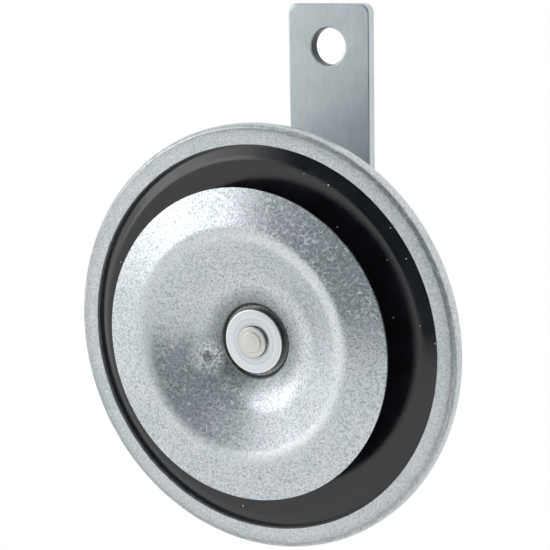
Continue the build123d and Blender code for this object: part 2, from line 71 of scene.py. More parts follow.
def rounded(points, radii=(), steps=6):
    """Outline of (radius, depth) points in mm, with its inner corners turned to arcs of the given radii."""
    line = [Vector(points[0])]
    for number in range(1, len(points) - 1):
        before, corner, after = (Vector(points[number + k]) for k in (-1, 0, 1))
        radius = radii[number - 1] if number <= len(radii) else 0.0
        to_before = (before - corner).normalized()
        to_after = (after - corner).normalized()
        turn = math.pi - to_before.angle(to_after)
        if radius <= 0 or turn < 0.01:
            line.append(corner)
            continue
        reach = radius * math.tan(turn / 2)
        middle = corner + (to_before + to_after).normalized() * (radius / math.cos(turn / 2))
        start = corner + to_before * reach - middle
        side = math.copysign(1.0, start.x * (corner - middle).y - start.y * (corner - middle).x)
        count = max(2, round(steps * turn / 0.8))
        for step in range(count + 1):
            angle = side * turn * step / count
            line.append(middle + Matrix.Rotation(angle, 2) @ start)
    line.append(Vector(points[-1]))
    return line


def sheet(line, thickness):
    """Closed outline of a sheet whose front follows line; the sheet lies to the left of the line."""
    back = []
    for number, point in enumerate(line):
        ahead = line[min(number + 1, len(line) - 1)] - point
        behind = point - line[max(number - 1, 0)]
        course = (ahead.normalized() + behind.normalized()).normalized()
        normal = Vector((-course.y, course.x))
        stretch = max(0.5, normal.dot(Vector((-ahead.y, ahead.x)).normalized())) if ahead.length else 1.0
        back.append(point + normal * thickness / stretch)
    return list(line) + back[::-1]


def cleaned(mesh):
    """The mesh, with its doubles merged and its faces turned outward."""
    made = bmesh.new()
    made.from_mesh(mesh)
    bmesh.ops.remove_doubles(made, verts=made.verts, dist=1e-7)
    bmesh.ops.recalc_face_normals(made, faces=made.faces)
    made.to_mesh(mesh)
    made.free()
    return mesh


def in_scene(name, data):
    """An object of the data, linked to the scene."""
    made = bpy.data.objects.new(name, data)
    bpy.context.scene.collection.objects.link(made)
    return made


def finished(mesh, material, name, body, slot, *nodes):
    """Makes an object of a mesh, gives it its material, and hands it to the frame."""
    cleaned(mesh)
    mesh.polygons.foreach_set("use_smooth", [True] * len(mesh.polygons))
    mesh.set_sharp_from_angle(angle=SMOOTH_ANGLE)
    mesh.materials.clear()
    mesh.materials.append(material)
    piece = in_scene(name, mesh)
    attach(piece, body)
    if nodes:
        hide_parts(*nodes)
    return piece


def at(x, depth, z):
    """Point in metres, at x and z in mm from the horn's axis and a depth in mm behind its front face."""
    return (x * MM, FRONT_Y + depth * MM, AXIS_Z + z * MM)


def on_circle(radius, angle, depth):
    """Point in metres, at a radius in mm and an angle round the horn's axis and a depth in mm."""
    return at(radius * math.cos(angle), depth, radius * math.sin(angle))


def walled(shape, rings):
    """Adds the faces between each ring of vertices and the next. A ring may be one vertex, repeated."""
    for first, second in zip(rings, rings[1:]):
        for number in range(len(first)):
            after = (number + 1) % len(first)
            corners = [first[number], first[after], second[after], second[number]]
            corners = [c for k, c in enumerate(corners) if c not in corners[:k]]
            if len(corners) > 2:
                shape.faces.new(corners)


def as_mesh(shape, name):
    """Mesh of a finished shape."""
    mesh = bpy.data.meshes.new(name)
    shape.to_mesh(mesh)
    shape.free()
    return mesh


def turned(outline, segments=256):
    """Mesh of a closed outline of (radius, depth) points in mm, turned about the horn's axis."""
    shape = bmesh.new()
    rings = []
    for radius, depth in outline:
        if radius < 1e-6:
            rings.append([shape.verts.new(on_circle(0, 0, depth))] * segments)
        else:
            rings.append([shape.verts.new(on_circle(radius, 2 * math.pi * number / segments, depth))
                          for number in range(segments)])
    walled(shape, rings + rings[:1])
    return as_mesh(shape, "turned")


def linear(hex_colour):
    """Linear RGBA of an sRGB hex colour such as "#c0c4cc"."""
    values = [int(hex_colour[k:k + 2], 16) / 255 for k in (1, 3, 5)]
    return tuple(v / 12.92 if v <= 0.04045 else ((v + 0.055) / 1.055) ** 2.4 for v in values) + (1.0,)


def add(owner, kind, links=None, **settings):
    """Adds a node to the tree of a material or world, or to a node group. links maps its input sockets to
    plain values, to other nodes' outputs, or to a node, which stands for the output that it has in use."""
    tree = getattr(owner, "node_tree", owner)
    made = tree.nodes.new(kind)
    for key, value in settings.items():
        setattr(made, key, value)
    for socket, value in (links or {}).items():
        if isinstance(value, bpy.types.Node):
            value = next(output for output in value.outputs if output.enabled)
        if isinstance(value, bpy.types.NodeSocket):
            tree.links.new(value, made.inputs[socket])
        else:
            made.inputs[socket].default_value = value
    return made


def new_material(name):
    """An empty node material, and the object's own coordinates in it."""
    material = bpy.data.materials.new(name)
    material.use_nodes = True
    material.node_tree.nodes.clear()
    place = add(material, "ShaderNodeTexCoord").outputs["Object"]
    return material, place


def ramp(material, factor, stops):
    """A colour ramp over (position, hex colour or grey value) stops."""
    made = add(material, "ShaderNodeValToRGB", {"Fac": factor})
    elements = made.color_ramp.elements
    for number, (position, colour) in enumerate(stops):
        element = elements[number] if number < 2 else elements.new(position)
        element.position = position
        element.color = linear(colour) if isinstance(colour, str) else (colour, colour, colour, 1.0)
    return made


def shade(material, colour, rough, metal=0.0, bump=None, others=None):
    """The surface shader, joined to the material's output. rough is one value, or a pattern and the least
    and the most roughness that it gives. bump is a pattern, its strength and its depth in mm. others maps
    further sockets of the shader to their values."""
    if isinstance(rough, tuple):
        pattern, least, most = rough
        rough = add(material, "ShaderNodeMapRange", {
            "Value": pattern, "From Min": 0.3, "From Max": 0.7, "To Min": least, "To Max": most})
    links = {"Base Color": colour, "Metallic": metal, "Roughness": rough, **(others or {})}
    if bump:
        height, strength, depth = bump
        links["Normal"] = add(material, "ShaderNodeBump", {
            "Height": height, "Strength": strength, "Distance": depth * MM})
    surface = add(material, "ShaderNodeBsdfPrincipled", links)
    add(material, "ShaderNodeOutputMaterial", {"Surface": surface})
    return material


def zinc_sheet(name, cool, warm, grain_mm, rough, mottle, flecks, marks=None):
    """Zinc-plated pressed steel. The plate has a fine spangle: grains of uneven shine make a mottle about
    grain_mm wide, and matt lines between the crystals stay light where the polished grains mirror something
    dark. marks adds a piece's own stains, painted shade and painted highlights: how much light is left, and
    how matt and light the skin is, each 0 to 1."""
    material, place = new_material(name)
    matt_zinc = linear("#e6e9ea")
    grain = add(material, "ShaderNodeTexNoise", {
        "Vector": place, "Scale": 1 / (grain_mm * MM), "Detail": 2.0, "Roughness": 0.6,
        "Distortion": 0.6})
    drift = add(material, "ShaderNodeTexNoise", {
        "Vector": place, "Scale": 1 / (11 * MM), "Detail": 3.0, "Roughness": 0.6})
    skin = ramp(material, drift, [(0.40, cool), (0.60, warm)])
    mottles = ramp(material, grain, [(0.38, 1.0 - mottle), (0.49, 1.0 - 0.35 * mottle), (0.58, 1.0)])
    colour = add(material, "ShaderNodeMix", {6: skin, 7: mottles, "Factor": 1.0},
                 data_type="RGBA", blend_type="MULTIPLY")
    shove = add(material, "ShaderNodeTexNoise", {
        "Vector": place, "Scale": 1 / (0.9 * MM), "Detail": 1.0}).outputs["Color"]
    crooked = add(material, "ShaderNodeVectorMath", {0: shove, 1: (0.9 * MM,) * 3, 2: place},
                  operation="MULTIPLY_ADD")
    web = add(material, "ShaderNodeTexVoronoi", {"Vector": crooked, "Scale": 1 / (2.4 * grain_mm * MM)},
              feature="DISTANCE_TO_EDGE")
    line = add(material, "ShaderNodeMapRange", {"Value": web, "From Min": 0.11, "From Max": 0.03})
    patch = add(material, "ShaderNodeTexNoise", {"Vector": crooked, "Scale": 1 / (1.1 * MM), "Detail": 1.0})
    some = add(material, "ShaderNodeMapRange", {
        "Value": patch, "From Min": 0.48, "From Max": 0.64, "To Min": 0.12})
    fleck = add(material, "ShaderNodeMath", {0: line, 1: some}, operation="MULTIPLY")
    matt = add(material, "ShaderNodeMath", {0: fleck, 1: flecks}, operation="MULTIPLY")
    colour = add(material, "ShaderNodeMix", {6: colour, 7: matt_zinc, "Factor": matt}, data_type="RGBA")
    if marks:
        # The first is stains and painted shade that darken the colour, the second stains and painted
        # highlights that turn the skin light and matt.
        left, stain_and_highlight = marks(material, place)
        colour = add(material, "ShaderNodeMix", {6: colour, 7: left, "Factor": 1.0},
                     data_type="RGBA", blend_type="MULTIPLY")
        colour = add(material, "ShaderNodeMix", {6: colour, 7: matt_zinc, "Factor": stain_and_highlight},
                     data_type="RGBA")
        matt = add(material, "ShaderNodeMath", {0: matt, 1: stain_and_highlight}, operation="MAXIMUM")
    roughness = add(material, "ShaderNodeMapRange", {"Value": matt, "To Min": rough, "To Max": 0.70})
    return shade(material, colour, rough=roughness, metal=0.78, bump=(grain, 1.0, 0.02 * grain_mm))


def away_from(material, place, x, z):
    """Distance in metres from a line along the depth, at x and z in mm from the horn's axis."""
    moved = add(material, "ShaderNodeMapping", {
        "Vector": place, "Location": (-x * MM, 0, -AXIS_Z - z * MM), "Scale": (1, 0, 1)})
    return add(material, "ShaderNodeVectorMath", {0: moved}, operation="LENGTH")


def from_axis(material, place, inner, outer, waver):
    """Share of the way out from one radius in mm to another, measured from the horn's axis. waver is how
    many mm a mark strays from its circle."""
    radius = away_from(material, place, 0, 0)
    smear = add(material, "ShaderNodeTexNoise", {"Vector": place, "Scale": 1 / (2.5 * MM), "Detail": 3.0})
    spread = add(material, "ShaderNodeMapRange", {
        "Value": smear, "From Min": 0.3, "From Max": 0.7, "To Min": -waver * MM, "To Max": waver * MM})
    edge = add(material, "ShaderNodeMath", {0: radius, 1: spread}, operation="ADD")
    return add(material, "ShaderNodeMapRange", {
        "Value": edge, "From Min": inner * MM, "From Max": outer * MM})


def ring_painted_light(material, place):
    """Painted shade in the crease near the rim's outer corner, and a light, matt painted highlight round the
    opening.
    """
    out = from_axis(material, place, 44.0, 50.0, 0.25)
    # Painted highlight: a light, matt band at the edge of the opening.
    painted_highlight = ramp(material, out, [(0.0, 0.75), (0.16, 0.65), (0.22, 0.0)])
    # Painted shade: the colour darkens in the crease near the outer corner.
    return ramp(material, out, [(0.45, 1.0), (0.68, 0.86), (0.76, 0.66), (0.83, 0.72), (0.92, 1.0)]), painted_highlight


ring_zinc = zinc_sheet("zinc_plated_bezel", "#c6cfd0", "#d0d3d6", grain_mm=0.46, rough=0.30, mottle=0.30,
                       flecks=0.6, marks=ring_painted_light)

ring_back = sheet(rounded([(lip_radius, 0), (rim_radius, 0), (rim_radius, ring_depth),
                           (rim_radius - crimp_width, ring_depth)], [ring_bend, ring_bend]), plate_thickness)
ring_back = ring_back[len(ring_back) // 2:]
# The front is drawn apart from the back: its cut edge is blunt, and the spinning tool leaves a crease
# where the flat face turns into the outer corner.
ring_front = rounded([(lip_radius, 0.3), (lip_radius, 0), (48.3, 0), (48.7, 0.22), (49.2, 0.31),
                      (49.56, 0.66), (rim_radius, 1.45), (rim_radius, ring_depth),
                      (rim_radius - crimp_width, ring_depth)],
                     [0.2, 0.3, 0.25, 0.5, 0.8, 0.5, ring_bend], steps=8)
finished(turned(ring_front + ring_back, 384), ring_zinc, "bezel_skin", "housing", "spangled_zinc",
         "clamp_ring")


# Diaphragm: spring steel disc, stamped with a groove and a shoulder just inside the bezel.
# It is sprayed gloss black and clamped at its edge, and a few grains of dust lie on it.

stem_hole = 3.65
diaphragm_thickness = 0.5
diaphragm_line = rounded([(stem_hole, 1.70), (14.5, 1.70), (41.8, 0.05), (44.65, 1.0), (48.35, 1.0)],
                         [6.0, 4.0, 0.8], steps=16)


def gloss_black():
    """Gloss black enamel over steel: a smooth wet-looking skin with a very faint orange peel."""
    material, place = new_material("gloss_black_enamel")
    peel = add(material, "ShaderNodeTexNoise", {"Vector": place, "Scale": 1 / (1.6 * MM), "Detail": 2.0})
    haze = add(material, "ShaderNodeTexNoise", {"Vector": place, "Scale": 1 / (6 * MM), "Detail": 4.0})
    return shade(material, ramp(material, haze, [(0.35, "#0b0b0f"), (0.7, "#131319")]),
                 rough=(haze, 0.14, 0.22), bump=(peel, 1.0, 0.003), others={"Specular IOR Level": 0.65})


finished(turned(sheet(diaphragm_line, diaphragm_thickness), 384), gloss_black(), "diaphragm_skin",
         "housing", "black_paint", "diaphragm")


def grown(name, points, tree, values):
    """Runs a geometry node tree on points in metres, and gives its result as a plain mesh. values maps
    the tree's named inputs to their values."""
    seed_mesh = bpy.data.meshes.new(name + "_points")
    seed_mesh.from_pydata(points, [], [])
    holder = in_scene(name + "_points", seed_mesh)
    modifier = holder.modifiers.new(name, "NODES")
    modifier.node_group = tree
    for item in tree.interface.items_tree:
        if item.in_out == "INPUT" and item.name in values:
            modifier[item.identifier] = values[item.name]
    bpy.context.view_layer.update()
    evaluated = holder.evaluated_get(bpy.context.evaluated_depsgraph_get())
    mesh = bpy.data.meshes.new_from_object(evaluated)
    holder.modifiers.remove(modifier)
    bpy.data.objects.remove(holder)
    return mesh


def new_tree(name, **sizes):
    """An empty geometry node tree with points, named sizes, each a float or an int, and a material to
    take in."""
    tree = bpy.data.node_groups.new(name, "GeometryNodeTree")
    tree.interface.new_socket("Points", in_out="INPUT", socket_type="NodeSocketGeometry")
    for size, kind in sizes.items():
        tree.interface.new_socket(
            size, in_out="INPUT", socket_type="NodeSocketInt" if kind is int else "NodeSocketFloat")
    tree.interface.new_socket("Finish", in_out="INPUT", socket_type="NodeSocketMaterial")
    tree.interface.new_socket("Mesh", in_out="OUTPUT", socket_type="NodeSocketGeometry")
    return tree, add(tree, "NodeGroupInput").outputs


def close_tree(tree, given, piece, **turn_and_size):
    """Ends a tree: the piece put on each point and made real, doubles merged, and the material set."""
    placed = add(tree, "GeometryNodeInstanceOnPoints", {
        "Points": given["Points"], "Instance": piece, **turn_and_size})
    real = add(tree, "GeometryNodeRealizeInstances", {"Geometry": placed})
    merged = add(tree, "GeometryNodeMergeByDistance", {"Geometry": real, "Distance": 1e-7})
    dressed = add(tree, "GeometryNodeSetMaterial", {"Geometry": merged, "Material": given["Finish"]})
    add(tree, "NodeGroupOutput", {"Mesh": dressed})
    return tree


def dust_tree():
    """Small lumpy grains, one on each point, turned and sized at random."""
    tree, given = new_tree("dust_grains", Size=float, Spread=float)
    seed = 7
    grain = add(tree, "GeometryNodeMeshIcoSphere", {"Radius": given["Size"], "Subdivisions": 2})
    lumps = add(tree, "ShaderNodeTexNoise", {"Scale": 9000.0, "Detail": 1.0})
    pushed = add(tree, "ShaderNodeVectorMath", {0: lumps.outputs["Color"], 1: (0.5, 0.5, 0.5)},
                 operation="SUBTRACT")
    sized = add(tree, "ShaderNodeVectorMath", {0: pushed, "Scale": given["Size"]}, operation="SCALE")
    lumpy = add(tree, "GeometryNodeSetPosition", {"Geometry": grain, "Offset": sized})
    turn = add(tree, "FunctionNodeRandomValue", {"Max": (6.28, 6.28, 6.28), "Seed": seed},
               data_type="FLOAT_VECTOR")
    least = add(tree, "ShaderNodeMath", {0: 1.0, 1: given["Spread"]}, operation="SUBTRACT")
    scale = add(tree, "FunctionNodeRandomValue", {2: least, 3: 1.0, "Seed": seed}, data_type="FLOAT")
    return close_tree(tree, given, lumpy, Rotation=turn, Scale=scale)


def pale_dust():
    """Dry dust: a pale matt grain, a little warmer or cooler from one to the next."""
    material, place = new_material("pale_dust")
    shift = add(material, "ShaderNodeTexNoise", {"Vector": place, "Scale": 1 / (3 * MM)})
    return shade(material, ramp(material, shift, [(0.35, "#cfc8ba"), (0.65, "#e9ebee")]), rough=0.9)


# Places of the grains as (radius in mm, angle in degrees from the right).
dust_places = ((34.5, 53.1), (43.3, 30.1), (35.4, 13.7), (41.6, 10.0), (41.4, 63.0), (39.2, 32.7),
               (43.9, 40.0), (44.3, 4.4), (41.1, 72.0), (41.0, -97.0), (40.6, 158.0))


def on_diaphragm(radius, angle):
    """Point in metres on the front of the diaphragm."""
    for first, second in zip(diaphragm_line, diaphragm_line[1:]):
        if first.x <= radius <= second.x:
            depth = first.y + (second.y - first.y) * (radius - first.x) / (second.x - first.x)
            return on_circle(radius, math.radians(angle), depth)


dust_points = [on_diaphragm(radius, angle) for radius, angle in dust_places]
dust = grown("dust", dust_points, dust_tree(), {"Size": 0.17 * MM, "Spread": 0.45, "Finish": pale_dust()})
finished(dust, dust.materials[0], "diaphragm_dust", "housing", "black_paint")


# Gasket: a thin ring of rubberised fibre that seals the diaphragm against the flange of the shell.

def dress(material, *nodes):
    """Gives the objects of CAD nodes their material."""
    for node in nodes:
        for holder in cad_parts[node].material_slots:
            holder.material = material


def rubber_fibre():
    """Rubberised fibre: matt and nearly black, with short pale fibres pressed in flat."""
    material, place = new_material("rubberised_fibre")
    fibres = add(material, "ShaderNodeTexNoise", {
        "Vector": place, "Scale": 1 / (0.4 * MM), "Detail": 5.0, "Distortion": 1.5})
    return shade(material, ramp(material, fibres, [(0.4, "#141413"), (0.7, "#2c2a28")]), rough=0.82,
                 bump=(fibres, 0.5, 0.03))


dress(rubber_fibre(), "diaphragm_gasket")


# Tone disc: zinc-plated sheet, pressed to a sunk seat, a hollow dish, a rounded crest and a sloping
# rim. It rings at a high note when the armature strikes, which gives the horn its bright sound.

tone_disc_line = rounded([(stem_hole, -0.4), (8.3, -0.4), (8.8, -1.5), (15.19, -2.9), (26.08, -9.09),
                          (36.18, -6.57)], [0.3, 1.1, 17.97, 6.0], steps=16)


def disc_stain_and_painted_light(material, place):
    """Painted shade round the sunk seat, one round drying stain in the dish, grainy and dark in its middle,
    and a light, matt painted highlight all round the crest."""
    out = from_axis(material, place, 7.0, 15.0, 0.5)
    # Painted shade: the colour darkens round the washer's seat and fades out a few mm beyond it.
    painted_seat_shade = ramp(material, out, [(0.0, "#bcb6b0"), (0.20, "#bab7b2"), (0.30, "#b4b8b6"), (0.48, "#cfd2d1"),
                                 (0.80, "#ffffff")])
    stain_angle = math.radians(-159)
    stain_radius = 13.2
    away = away_from(material, place, stain_radius * math.cos(stain_angle),
                     stain_radius * math.sin(stain_angle))
    grains = add(material, "ShaderNodeTexNoise", {"Vector": place, "Scale": 1 / (0.6 * MM), "Detail": 2.0})
    wobble = add(material, "ShaderNodeMath", {0: grains, 1: 1.6 * MM, 2: away}, operation="MULTIPLY_ADD")
    share = add(material, "ShaderNodeMapRange", {
        "Value": wobble, "From Min": 0.8 * MM, "From Max": 6.2 * MM})
    ring = ramp(material, share, [(0.0, 0.55), (0.16, 0.62), (0.36, 1.0), (1.0, 1.0)])
    left = add(material, "ShaderNodeMix", {6: painted_seat_shade, 7: ring, "Factor": 1.0},
               data_type="RGBA", blend_type="MULTIPLY")
    matt = ramp(material, share, [(0.0, 0.2), (0.16, 0.25), (0.34, 0.9), (0.60, 0.8), (0.90, 0.0)])
    speckle = add(material, "ShaderNodeMapRange", {"Value": grains, "From Min": 0.42, "From Max": 0.58})
    stain_and_highlight = add(material, "ShaderNodeMath", {0: matt, 1: speckle}, operation="MULTIPLY")
    # Painted highlight: a light, matt band all round the crest, broken up by the grains.
    crest = ramp(material, from_axis(material, place, 23.6, 27.8, 0.2),
                 [(0.0, 0.0), (0.32, 0.62), (0.62, 0.66), (1.0, 0.0)])
    uneven = add(material, "ShaderNodeMapRange", {
        "Value": grains, "From Min": 0.38, "From Max": 0.60, "To Min": 0.35})
    painted_highlight = add(material, "ShaderNodeMath", {0: crest, 1: uneven}, operation="MULTIPLY")
    stain_and_highlight = add(material, "ShaderNodeMath", {0: stain_and_highlight, 1: painted_highlight}, operation="MAXIMUM")
    return left, stain_and_highlight


disc_zinc = zinc_sheet("zinc_plated_disc", "#cbd4d7", "#d4d8de", grain_mm=0.46, rough=0.27, mottle=0.46,
                       flecks=0.65, marks=disc_stain_and_painted_light)
finished(turned(sheet(tone_disc_line, plate_thickness), 384), disc_zinc, "tone_disc_skin", "vibrator",
         "spangled_zinc", "tone_disc")


# Front washer: thick plain washer, bright zinc plated, that spreads the clamping force of the stem.

def bright_zinc():
    """Bright zinc plate over a turned washer: almost a mirror, bluish, with a tool ring half way out,
    painted shade next to the stem and down its outer wall, and a painted highlight just inside its edge."""
    material, place = new_material("bright_zinc_washer")
    out = from_axis(material, place, 3.5, 7.5, 0.0)
    # Painted shade: darker next to the stem and on the outer wall. Painted highlight: white just inside the
    # edge.
    rings = ramp(material, out, [(0.0, "#a4a9ab"), (0.12, "#c3c8ca"), (0.30, "#dbe1e4"), (0.44, "#cdd4d8"),
                                 (0.54, "#e0e6e9"), (0.88, "#dae0e4"), (0.94, "#ffffff"), (1.0, "#8a8d8c")])
    fog = add(material, "ShaderNodeTexNoise", {"Vector": place, "Scale": 1 / (1.2 * MM), "Detail": 3.0})
    tone = ramp(material, fog, [(0.3, 0.93), (0.7, 1.0)])
    colour = add(material, "ShaderNodeMix", {6: rings, 7: tone, "Factor": 1.0},
                 data_type="RGBA", blend_type="MULTIPLY")
    return shade(material, colour, rough=(fog, 0.18, 0.28), metal=1.0)


washer_outline = rounded([(stem_hole, -0.4), (stem_hole, -2.0), (7.5, -2.0), (7.5, -0.4),
                          (stem_hole, -0.4)], [0.1, 0.25, 0.0])
finished(turned(washer_outline, 160), bright_zinc(), "front_washer_skin", "vibrator", "bright_plate",
         "front_washer")


# Armature: soft iron slug, turned in one piece with the stem that passes through the diaphragm and
# the disc. The end of the stem is staked over the front washer, which leaves a raised middle.

def turned_steel(name, dark, light):
    """Bright turned steel: fine rings left by the tool, round the horn's own axis."""
    material, place = new_material(name)
    marks = add(material, "ShaderNodeTexNoise", {
        "W": away_from(material, place, 0, 0), "Scale": 1 / (0.22 * MM), "Detail": 2.0},
        noise_dimensions="1D")
    return shade(material, ramp(material, marks, [(0.3, dark), (0.7, light)]), rough=(marks, 0.24, 0.34),
                 metal=1.0, bump=(marks, 0.6, 0.004))


stem_steel = turned_steel("turned_soft_iron", "#c3c4bd", "#e9e9e2")
armature_outline = rounded([
    (0, -3.10), (2.45, -3.10), (2.45, -2.85), (3.6, -2.85), (3.6, 3.3), (9.0, 3.3),
    (9.0, 23.2), (0, 23.2)], [0.2, 0.05, 0.25, 0.0, 0.5, 0.5], steps=5)
finished(turned(armature_outline, 128), stem_steel, "armature_skin", "vibrator", "machined_steel",
         "armature")

for node, outer, front, back in (("spacer_washer", 8.2, 0.6, 1.7), ("armature_washer", 13.5, 2.2, 3.3)):
    outline = rounded([(stem_hole, back), (stem_hole, front), (outer, front), (outer, back),
                       (stem_hole, back)], [0.1, 0.15, 0.15], steps=4)
    finished(turned(outline, 128), stem_steel, node + "_skin", "vibrator", "machined_steel", node)


# Housing: one deep-drawn steel shell, with a wide front chamber, a flat shelf and a narrow cup for
# the magnet. Zinc plated all over, and duller than the bezel. The threaded boss is pressed into it.

def joined(*meshes):
    """One mesh of several."""
    together = bmesh.new()
    for mesh in meshes:
        together.from_mesh(mesh)
    return as_mesh(together, "joined")


shell_zinc = zinc_sheet("zinc_plated_shell", "#b9c0c2", "#bfc0c6", grain_mm=0.8, rough=0.36, mottle=0.16,
                        flecks=0.5)
shell_line = rounded([(4.2, 35.2), (25, 35.2), (25, 12.6), (41.2, 12.6), (43.4, 1.8), (48.35, 1.8)],
                     [2.0, 1.2, 1.5, 1.2], steps=12)
boss_x, boss_z = -34.8, 11.0
boss_outline = rounded([(2.55, 13.1), (3.75, 13.1), (3.75, 15.6), (2.55, 15.6), (2.55, 13.1)],
                       [0.0, 0.3, 0.2], steps=4)
boss = turned(boss_outline, 48)
boss.transform(Matrix.Translation((boss_x * MM, 0, boss_z * MM)))
finished(joined(turned(sheet(shell_line, plate_thickness)), boss), shell_zinc, "housing_skin", "housing",
         "shell_zinc", "housing_cup")


# Pole plate: the front plate of the magnet, blanked from mild steel with three ears, and held to the
# shelf of the shell by three solid rivets.

def rolled_steel(name, dark, light):
    """Zinc-flashed mild steel sheet: satin, with a fine grain drawn out along the rolling."""
    material, place = new_material(name)
    drawn = add(material, "ShaderNodeMapping", {"Vector": place, "Scale": (0.08, 1.0, 1.0)})
    grain = add(material, "ShaderNodeTexNoise", {"Vector": drawn, "Scale": 1 / (0.3 * MM), "Detail": 3.0})
    return shade(material, ramp(material, grain, [(0.3, dark), (0.7, light)]), rough=(grain, 0.30, 0.42),
                 metal=1.0, bump=(grain, 0.5, 0.004))


plate_steel = rolled_steel("rolled_steel_plate", "#a7a8a6", "#bcbcb8")
dress(plate_steel, "pole_plate")


def rivet_tree():
    """A solid rivet along the depth on each point: a shank with a low domed head at either end. The point
    is the top of the front head."""
    tree, given = new_tree("solid_rivets", Shank=float, Head=float, Height=float, Grip=float)
    heads = add(tree, "ShaderNodeMath", {0: given["Height"], 1: 2.0, 2: given["Grip"]},
                operation="MULTIPLY_ADD")
    tip = add(tree, "ShaderNodeCombineXYZ", {"Y": heads})
    line = add(tree, "GeometryNodeCurvePrimitiveLine", {"End": tip})
    fine = add(tree, "GeometryNodeResampleCurve", {"Curve": line, "Count": 101})
    along = add(tree, "GeometryNodeSplineParameter").outputs["Length"]
    from_end = add(tree, "ShaderNodeMath", {0: heads, 1: along}, operation="SUBTRACT")
    nearest = add(tree, "ShaderNodeMath", {0: along, 1: from_end}, operation="MINIMUM")
    share = add(tree, "ShaderNodeMath", {0: nearest, 1: given["Height"]}, operation="DIVIDE")
    # A head widens from its tip as (1 - (1 - share) ** 3.2) ** 0.42, which makes a low, full dome.
    left = add(tree, "ShaderNodeMath", {0: 1.0001, 1: share}, operation="SUBTRACT", use_clamp=True)
    power = add(tree, "ShaderNodeMath", {0: left, 1: 3.2}, operation="POWER")
    rest = add(tree, "ShaderNodeMath", {0: 1.0, 1: power}, operation="SUBTRACT", use_clamp=True)
    dome = add(tree, "ShaderNodeMath", {0: rest, 1: 0.42}, operation="POWER")
    head = add(tree, "ShaderNodeMath", {0: dome, 1: given["Head"]}, operation="MULTIPLY")
    in_head = add(tree, "ShaderNodeMath", {0: share, 1: 1.001}, operation="LESS_THAN")
    radius = add(tree, "ShaderNodeMix", {"Factor": in_head, 2: given["Shank"], 3: head}, data_type="FLOAT")
    circle = add(tree, "GeometryNodeCurvePrimitiveCircle", {"Resolution": 40, "Radius": 1.0})
    lathe = add(tree, "GeometryNodeCurveToMesh", {"Curve": fine, "Profile Curve": circle, "Scale": radius})
    return close_tree(tree, given, lathe)


solid_rivets = rivet_tree()


def rivets(node, places, material, slot, radius, front, back):
    """Solid rivets at places (x, z) in mm through the depths front to back, in place of a CAD node."""
    height = 0.8
    points = [at(x, front - height, z) for x, z in places]
    mesh = grown(node, points, solid_rivets, {
        "Shank": radius * MM, "Head": radius * 1.75 * MM, "Height": height * MM,
        "Grip": (back - front) * MM, "Finish": material})
    finished(mesh, material, node + "_skin", "housing", slot, node)


rivet_steel = rolled_steel("cold_headed_steel", "#a9aaa8", "#c3c3bf")
ear_radius = 30.8
ear_angles = [math.radians(degrees) for degrees in (0, 90, 225)]
ears = [(ear_radius * math.cos(angle), ear_radius * math.sin(angle)) for angle in ear_angles]
rivets("pole_plate_rivets", ears, rivet_steel, "plain_steel", radius=1.5, front=10.6, back=13.6)


# Bobbin and winding: a moulded nylon spool on the core, wound full of enamelled copper wire.

def nylon(name, dark, light):
    """Natural moulded nylon: warm white and waxy, with a soft sheen and a faint flow mottle."""
    material, place = new_material(name)
    flow = add(material, "ShaderNodeTexNoise", {"Vector": place, "Scale": 1 / (5 * MM), "Detail": 4.0})
    return shade(material, ramp(material, flow, [(0.3, dark), (0.7, light)]), rough=0.42,
                 bump=(flow, 0.2, 0.05))


def wound_copper():
    """Enamelled copper wire, laid turn by turn: amber red, with a ridge for each 0.55 mm of winding."""
    material, place = new_material("enamelled_copper_winding")
    parts = add(material, "ShaderNodeSeparateXYZ", {"Vector": place})
    turns = add(material, "ShaderNodeMath", {0: parts.outputs["Y"], 1: 2 * math.pi / (0.55 * MM)},
                operation="MULTIPLY")
    ridge = add(material, "ShaderNodeMath", {0: turns}, operation="SINE")
    uneven = add(material, "ShaderNodeTexNoise", {"Vector": place, "Scale": 1 / (4 * MM), "Detail": 2.0})
    return shade(material, ramp(material, uneven, [(0.35, "#8c3f1c"), (0.65, "#b85a2a")]), rough=0.28,
                 metal=1.0, bump=(ridge, 1.0, 0.1))


dress(nylon("natural_nylon", "#d9d3bf", "#e8e3d2"), "coil_bobbin")
dress(wound_copper(), "coil_winding")


# Magnet core: turned soft iron, riveted over in the shell, with the M8 stud that carries the bracket.
# The stud's thread is rolled, so its crests are rounded.

